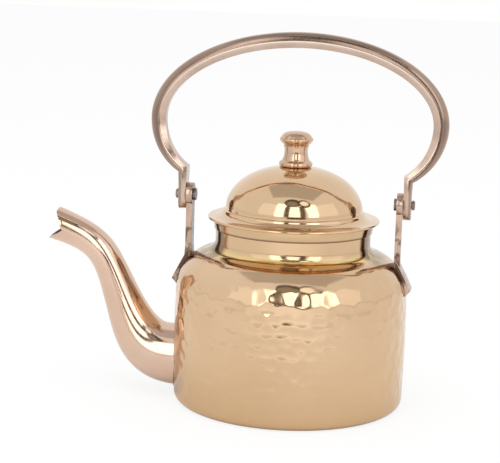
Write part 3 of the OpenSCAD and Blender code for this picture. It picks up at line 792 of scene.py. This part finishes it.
pinLow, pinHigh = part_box("rear_pivot_pin")
bail = {
    "pivotH": (pinLow.z + pinHigh.z) / 2, "legX": 0.06315, "legT": 0.0044, "legW": 0.0116,
    "legFootW": 0.0024, "legTail": 0.0082, "legRings": (0.0, 0.0068), "legRise": 0.0144, "kinkT": 0.0050,
    "barW": 0.0086, "barDepth": 0.0084, "swell": 0.0156, "wideRise": 0.0432, "rise": 0.093,
    "lean": 0.002,
    "barCorner": 2, "legCorner": 7, "barEdge": 0.0026, "legBevel": 0.0008, "ridgeIn": 0.08,
    # close rows beside the ridge and the inner edge keep the faces between them flat
    "flatRows": (0.14, 0.9, 1.0),
    "footRings": 6, "archRings": 48, "lowRings": 16, "sectionSteps": 24, "eyeR": 0.00216, "eyeSides": 48,
    # share of patina and painted dark reflection by the place across the bar, from the inner edge over
    # the ridge, where it drops to a painted highlight, to the outer edge
    "stripes": (
        (-0.5, 0.42), (-0.3, 0.38), (-0.14, 0.22), (-0.08, 0.0), (-0.05, 0.0), (0.0, 1.0),
        (0.12, 1.0), (0.25, 0.84), (0.38, 0.7), (0.5, 0.5)),
    # below the top the hand rubs less, so that the patina and painted dark reflection keep at least this
    # share
    "handH": (0.165, 0.2), "leastPatinaAndReflection": 0.29,
}


def bailStations(b):
    # place, direction, width, depth, corner sharpness and inner edge of each ring of the rear half
    pivot = b["pivotH"]
    flat = b["legW"] / 2 - b["legBevel"]
    footR = (b["legW"] - b["legFootW"]) / 2
    made = []

    def legRing(height, side):
        made.append((
            (b["legX"], height), (0, 1), b["legT"], 2 * side, b["legCorner"], side - b["legBevel"]))

    for i in range(b["footRings"] + 1):
        a = math.pi / 2 * i / b["footRings"]
        side = b["legW"] / 2 - footR * (1 - math.sin(a))
        legRing(pivot - b["legTail"] + footR * (1 - math.cos(a)), side)
    for rise in b["legRings"]:
        legRing(pivot + rise, b["legW"] / 2)
    kink = (b["legX"], pivot + b["legRise"])
    arcH = b["wideRise"] - b["legRise"]
    arcR = (b["swell"] ** 2 + arcH ** 2) / (2 * b["swell"])
    wideX = b["legX"] + b["swell"]
    wideH = pivot + b["wideRise"]
    arcAngle = math.asin(arcH / arcR)
    half = arcAngle / 2
    made.append((
        kink, (math.sin(half), math.cos(half)), b["kinkT"] / math.cos(half), b["legW"],
        b["legCorner"], flat))

    def barRing(place, ahead, share):
        made.append((
            place, ahead,
            b["kinkT"] + (b["barW"] - b["kinkT"]) * share,
            b["legW"] + (b["barDepth"] - b["legW"]) * share,
            b["legCorner"] + (b["barCorner"] - b["legCorner"]) * share,
            flat + (b["barEdge"] - flat) * share))

    for i in range(1, b["lowRings"]):
        a = arcAngle * (i / b["lowRings"] - 1)
        place = (wideX - arcR + arcR * math.cos(a), wideH + arcR * math.sin(a))
        barRing(place, (-math.sin(a), math.cos(a)), math.sin(math.pi / 2 * i / b["lowRings"]))
    topRise = pivot + b["rise"] - b["barW"] / 2 - wideH
    for i in range(b["archRings"] + 1):
        a = math.pi / 2 * i / b["archRings"]
        ahead = Vector((-wideX * math.sin(a), topRise * math.cos(a))).normalized()
        barRing((wideX * math.cos(a), wideH + topRise * math.sin(a)), tuple(ahead), 1)
    return made


def bailMiddle(b, station):
    # the hoop leans a little away from the spout
    (x, z) = station[0]
    kinkH = b["pivotH"] + b["legRise"]
    topH = b["pivotH"] + b["rise"] - b["barW"] / 2
    return (x + b["lean"] * max(0, (z - kinkH) / (topH - kinkH)), z)


def bailRing(b, station):
    # round outside, two flat faces inside that meet the round at a ridge
    _, ahead, width, depth, corner, edge = station
    x, z = bailMiddle(b, station)
    out = (ahead[1], -ahead[0])
    ridge = -b["ridgeIn"] * width
    reach = width / 2 - ridge
    section = []
    for i in range(b["sectionSteps"] + 1):
        a = math.pi / 2 - math.pi * i / b["sectionSteps"]
        across = ridge + reach * max(0, math.cos(a)) ** (2 / corner)
        section.append((across, math.copysign(depth / 2 * abs(math.sin(a)) ** (2 / corner), a)))
    inner = []
    for share in b["flatRows"]:
        inner.append((ridge - (width / 2 + ridge) * share, depth / 2 + (edge - depth / 2) * share))
    section += [(across, -y) for across, y in inner]
    section += reversed(inner)
    return [Vector((x + out[0] * s, y, z + out[1] * s)) for s, y in section]


def bailHalves(b):
    rear = bailStations(b)
    front = [((-s[0][0], s[0][1]), (s[1][0], -s[1][1]), *s[2:]) for s in reversed(rear[:-1])]
    return rear + front


def drawBail(b):
    rings = [bailRing(b, station) for station in bailHalves(b)]
    clearSelection()
    bpy.ops.mesh.primitive_circle_add(vertices=len(rings[0]), radius=b["barW"], fill_type="NGON")
    piece = bpy.context.object
    piece.name = "bailHandle"
    bpy.ops.object.mode_set(mode="EDIT")
    bpy.ops.mesh.select_all(action="SELECT")
    for ring in rings:
        if ring is not rings[0]:
            bpy.ops.mesh.extrude_region_move()
        grid = bmesh.from_edit_mesh(piece.data)
        end = next(f for f in grid.faces if f.select)
        for corner, place in zip(end.verts, ring):
            corner.co = place
        bmesh.update_edit_mesh(piece.data)
    closeMesh()
    return piece


def stripeAt(stripes, across):
    for (low, lowShare), (high, highShare) in zip(stripes, stripes[1:]):
        if across < high:
            return lowShare + (highShare - lowShare) * max(0, (across - low) / (high - low))
    return stripes[-1][1]


def markRun(piece, b):
    # a UV map of the run along the bar and the place across it, and the stripes of patina with painted
    # reflection and highlight
    stations = bailHalves(b)
    middles = [Vector(bailMiddle(b, station)) for station in stations]
    lengths = [0.0]
    for before, after in zip(middles, middles[1:]):
        lengths.append(lengths[-1] + (after - before).length)
    patinaAndDarkReflection = piece.data.attributes.new("patinaAndDarkReflection", "FLOAT", "POINT")
    places = []
    for point in piece.data.vertices:
        spot = Vector((point.co.x, point.co.z))
        i = min(range(len(middles)), key=lambda k: (middles[k] - spot).length_squared)
        ahead = Vector(stations[i][1])
        off = spot - middles[i]
        across = off.x * ahead.y - off.y * ahead.x
        places.append((lengths[i] + off.dot(ahead), across + point.co.y))
        least = b["leastPatinaAndReflection"] * (1 - ramp(point.co.z, *b["handH"]))
        patinaAndDarkReflection.data[point.index].value = max(least, stripeAt(b["stripes"], across / stations[i][2]))
    run = piece.data.uv_layers.new(name="run")
    for loop in piece.data.loops:
        run.data[loop.index].uv = places[loop.vertex_index]


bailHandle = drawBail(bail)
for side in (-1, 1):
    clearSelection()
    bpy.ops.mesh.primitive_cylinder_add(
        vertices=bail["eyeSides"], radius=bail["eyeR"], depth=3 * bail["legT"],
        location=(side * bail["legX"], 0, bail["pivotH"]), rotation=(0, math.pi / 2, 0))
    cutBy(bailHandle, bpy.context.object)
markRun(bailHandle, bail)
smooth(bailHandle, 45)
finishPiece(bailHandle, "bail", "cast_brass", materials["bailBrass"], "bail_handle")

# Lugs: the CAD castings with their edges broken

lug = {
    "edgeR": 0.0004, "edgeFrom": 40, "outerBrown": 0.15,
    "sideBrown": 1.0, "sideFrom": 0.5, "neckSideShade": 1.8, "neckFrom": 0.6,
}


def markLugBrowning(piece, u):
    # how much each face is browned: the sides fully, the neck's side most as painted shade, the outside
    # hardly
    lugDarkening = piece.data.attributes.new("lugDarkening", "FLOAT", "FACE")
    for face in piece.data.polygons:
        share = u["sideBrown"] if abs(face.normal.y) > u["sideFrom"] else u["outerBrown"]
        toNeck = -face.normal.x * math.copysign(1, face.center.x)
        lugDarkening.data[face.index].value = u["neckSideShade"] if toNeck > u["neckFrom"] else share


for node in ("front_lug", "rear_lug"):
    copied = bpy.data.objects.new(node.replace("_lug", "Lug"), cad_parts[node].data.copy())
    scene.collection.objects.link(copied)
    activate(copied)
    bpy.ops.object.mode_set(mode="EDIT")
    bpy.ops.mesh.select_all(action="SELECT")
    bpy.ops.mesh.remove_doubles(threshold=mergeGap)
    bpy.ops.mesh.dissolve_limited(angle_limit=math.radians(1))
    bpy.ops.object.mode_set(mode="OBJECT")
    bpy.ops.mesh.customdata_custom_splitnormals_clear()
    applyModifier(
        copied, "BEVEL", width=lug["edgeR"], segments=3, limit_method="ANGLE",
        angle_limit=math.radians(lug["edgeFrom"]))
    smooth(copied, 30)
    markLugBrowning(copied, lug)
    finishPiece(copied, "pot", "cast_brass", materials["lugBrass"], node)

# CAD nodes that keep their shape

kept = {
    "base_plate": "hammeredBrass", "lid_skirt": "polishedBrass",
    "front_lug_rivets": "castBrass", "rear_lug_rivets": "castBrass",
    "front_pivot_pin": "darkSteel", "rear_pivot_pin": "darkSteel",
    "knob_washer": "darkSteel", "knob_screw": "darkSteel",
}
for node, finish in kept.items():
    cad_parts[node].data.materials.clear()
    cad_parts[node].data.materials.append(materials[finish])
print("kept", ", ".join(kept))

# Stage: pale floor, white surroundings and soft light

stage = {
    "surround": (0.9, 0.9, 0.9), "white": (1, 1, 1), "floorSize": 12, "floorColour": (0.9, 0.9, 0.9),
    "floorRough": 0.9, "floorWhite": 0.85, "floorMirror": 0.24,
    "cardDistance": 2.2, "aimH": 0.1, "cameraAz": 6, "roundSides": 64,
    "wallR": 1.45, "wallH": 0.20, "wallColour": (0.93, 0.92, 0.91), "wallSides": 96,
    "glareAt": 0.85, "glareH": 0.001, "glareSize": 1.3, "glareFade": (0.65, 0.25), "glareWhite": 1.28,
    "lampPlace": (0, -0.5, 2.0), "lampSize": 1.6, "lampPower": 14,
}


def whiteWhenSeen(owner, shade, white, seenShare, mirrorShare, output):
    # camera rays get one share of plain white, glossy and transmission rays the other
    nodes, links = owner.node_tree.nodes, owner.node_tree.links
    path = nodes.new("ShaderNodeLightPath")
    seen = combined(owner, "MULTIPLY", path.outputs["Is Camera Ray"], seenShare)
    mirrored = combined(
        owner, "MAXIMUM", path.outputs["Is Glossy Ray"], path.outputs["Is Transmission Ray"])
    mirrored = combined(owner, "MULTIPLY", mirrored, mirrorShare)
    mix = nodes.new("ShaderNodeMixShader")
    links.new(combined(owner, "MAXIMUM", seen, mirrored), mix.inputs["Fac"])
    links.new(shade, mix.inputs[1])
    links.new(white.outputs[0], mix.inputs[2])
    links.new(mix.outputs[0], output)


world = bpy.data.worlds.new("studio")
scene.world = world
world.use_nodes = True
worldNodes = world.node_tree.nodes
surround = worldNodes["Background"]
surround.inputs["Color"].default_value = (*stage["surround"], 1)
whiteWorld = worldNodes.new("ShaderNodeBackground")
whiteWorld.inputs["Color"].default_value = (*stage["white"], 1)
whiteWhenSeen(
    world, surround.outputs[0], whiteWorld, 1.0, 1.0, worldNodes["World Output"].inputs["Surface"])

clearSelection()
bpy.ops.mesh.primitive_plane_add(size=stage["floorSize"])
floor = bpy.context.object
floor.name = "floor"
floorMaterial = bpy.data.materials.new("paleFloor")
floorMaterial.use_nodes = True
floorNodes = floorMaterial.node_tree.nodes
floorShader = floorNodes["Principled BSDF"]
floorShader.inputs["Base Color"].default_value = (*stage["floorColour"], 1)
floorShader.inputs["Roughness"].default_value = stage["floorRough"]
floorShader.inputs["Specular IOR Level"].default_value = 0.0
whiteFloor = floorNodes.new("ShaderNodeEmission")
whiteWhenSeen(
    floorMaterial, floorShader.outputs[0], whiteFloor, stage["floorWhite"], stage["floorMirror"],
    floorNodes["Material Output"].inputs["Surface"])
floor.data.materials.append(floorMaterial)

# what the brass mirrors: azimuth from the camera's side, positive to the right, and sizes, in degrees
cards = {
    "ceiling": {"az": 0, "el": 90, "size": (56, 40), "colour": (0.62, 0.60, 0.58)},
    "leftWindow": {"az": -25, "el": 24, "size": (15, 46), "colour": (2.6, 2.6, 2.6)},
    "rightWindow": {"az": 33, "el": 24, "size": (18, 46), "colour": (2.6, 2.6, 2.6)},
    "middleWindow": {"az": 3, "el": 20, "size": (26, 38), "colour": (2.4, 2.4, 2.4), "distance": 2.25},
    "leftGlow": {"az": -47, "el": 24, "size": (30, 36), "colour": (1.22, 1.22, 1.22)},
    "rightGlow": {"az": 60, "el": 24, "size": (38, 36), "colour": (1.22, 1.22, 1.22)},
    "leftStand": {"az": -12, "el": 22, "size": (8, 38), "colour": (0.16, 0.14, 0.11)},
    "rightStand": {"az": 15, "el": 22, "size": (9, 38), "colour": (0.16, 0.14, 0.11)},
    "tableEdge": {"az": 4, "el": 1.5, "size": (30, 8), "colour": (0.14, 0.11, 0.09), "distance": 0.6},
    "leftShade": {"az": -4, "el": 52, "size": (24, 25), "colour": (0.09, 0.085, 0.07), "round": True},
    "leftShadeInside": {
        "az": -4, "el": 50, "size": (16, 15), "colour": (0.36, 0.35, 0.30),
        "round": True, "distance": 2.15,
    },
    "rightShade": {"az": 24, "el": 50, "size": (18, 25), "colour": (0.09, 0.085, 0.07), "round": True},
    "rightShadeInside": {
        "az": 24, "el": 51, "size": (13, 15), "colour": (1.5, 1.5, 1.45),
        "round": True, "distance": 2.15,
    },
}


def around(az, el, distance):
    a, e = math.radians(az + stage["cameraAz"]), math.radians(el)
    back = Vector((math.sin(a) * math.cos(e), -math.cos(a) * math.cos(e), math.sin(e)))
    place = Vector((0, 0, stage["aimH"])) + back * distance
    return place, back.to_track_quat("Z", "Y").to_euler()


def glowMaterial(name, colour):
    paint = bpy.data.materials.new(name)
    paint.use_nodes = True
    nodes = paint.node_tree.nodes
    glow = nodes.new("ShaderNodeEmission")
    glow.inputs["Color"].default_value = (*colour, 1)
    paint.node_tree.links.new(glow.outputs[0], nodes["Material Output"].inputs["Surface"])
    return paint


def mirrorOnly(panel, colour):
    # seen in the brass alone, so that it neither lights nor shades the floor
    panel.data.materials.append(glowMaterial(panel.name, colour))
    panel.visible_camera = False
    panel.visible_diffuse = False
    panel.visible_shadow = False


for name, card in cards.items():
    distance = card.get("distance", stage["cardDistance"])
    place, turn = around(card["az"], card["el"], distance)
    clearSelection()
    if card.get("round"):
        bpy.ops.mesh.primitive_circle_add(
            vertices=stage["roundSides"], radius=0.5, fill_type="NGON", location=place, rotation=turn)
    else:
        bpy.ops.mesh.primitive_plane_add(size=1, location=place, rotation=turn)
    panel = bpy.context.object
    panel.name = name
    width, height = (2 * distance * math.tan(math.radians(angle / 2)) for angle in card["size"])
    panel.scale = (width, height, 1)
    mirrorOnly(panel, card["colour"])

# a soft glare on the floor in front, which the hammer marks catch
clearSelection()
glarePlace, _ = around(0, 0, stage["glareAt"])
bpy.ops.mesh.primitive_circle_add(
    vertices=stage["roundSides"], radius=stage["glareSize"] / 2, fill_type="NGON",
    location=(glarePlace.x, glarePlace.y, stage["glareH"]))
glare = bpy.context.object
glare.name = "glare"
mirrorOnly(glare, [stage["glareWhite"]] * 3)
glareMaterial = glare.data.materials[0]
glareNodes, glareLinks = glareMaterial.node_tree.nodes, glareMaterial.node_tree.links
glarePlaces = glareNodes.new("ShaderNodeTexCoord")
fromMiddle = glareNodes.new("ShaderNodeVectorMath")
fromMiddle.operation = "LENGTH"
glareLinks.new(glarePlaces.outputs["Object"], fromMiddle.inputs[0])
fadeOut = glareNodes.new("ShaderNodeMixShader")
fade = mapped(glareMaterial, fromMiddle.outputs["Value"], *stage["glareFade"])
glareLinks.new(fade, fadeOut.inputs["Fac"])
glareLinks.new(glareNodes.new("ShaderNodeBsdfTransparent").outputs[0], fadeOut.inputs[1])
glareLinks.new(glareNodes["Emission"].outputs[0], fadeOut.inputs[2])
glareLinks.new(fadeOut.outputs[0], glareNodes["Material Output"].inputs["Surface"])

clearSelection()
bpy.ops.mesh.primitive_cylinder_add(
    vertices=stage["wallSides"], radius=stage["wallR"], depth=stage["wallH"], end_fill_type="NOTHING",
    location=(0, 0, stage["wallH"] / 2))
bpy.context.object.name = "lowWall"
mirrorOnly(bpy.context.object, stage["wallColour"])

lamp = bpy.data.lights.new("softLamp", "AREA")
lamp.shape = "DISK"
lamp.size = stage["lampSize"]
lamp.energy = stage["lampPower"]
lampObject = bpy.data.objects.new("softLamp", lamp)
lampObject.location = stage["lampPlace"]
lampObject.rotation_euler = Vector(stage["lampPlace"]).to_track_quat("Z", "Y").to_euler()
lampObject.visible_glossy = False
lampObject.visible_camera = False
scene.collection.objects.link(lampObject)
print("stage", ", ".join(cards))

# Camera at the photograph's view

view = {
    "place": (0.0876, -0.8334, 0.2483), "pitch": -10.275, "heading": 7.66, "roll": 1.833,
    "lens": 109.03, "sensor": 36, "clipEnd": 50,
}
cameraData = bpy.data.cameras.new("camera")
cameraData.lens = view["lens"]
cameraData.sensor_width = view["sensor"]
cameraData.clip_end = view["clipEnd"]
camera = bpy.data.objects.new("camera", cameraData)
camera.location = view["place"]
turn = Matrix.Rotation(math.radians(view["heading"]), 4, "Z")
turn = turn @ Matrix.Rotation(math.radians(90 + view["pitch"]), 4, "X")
turn = turn @ Matrix.Rotation(math.radians(view["roll"]), 4, "Z")
camera.rotation_euler = turn.to_euler()
scene.collection.objects.link(camera)
scene.camera = camera

scene.view_settings.view_transform = "Standard"
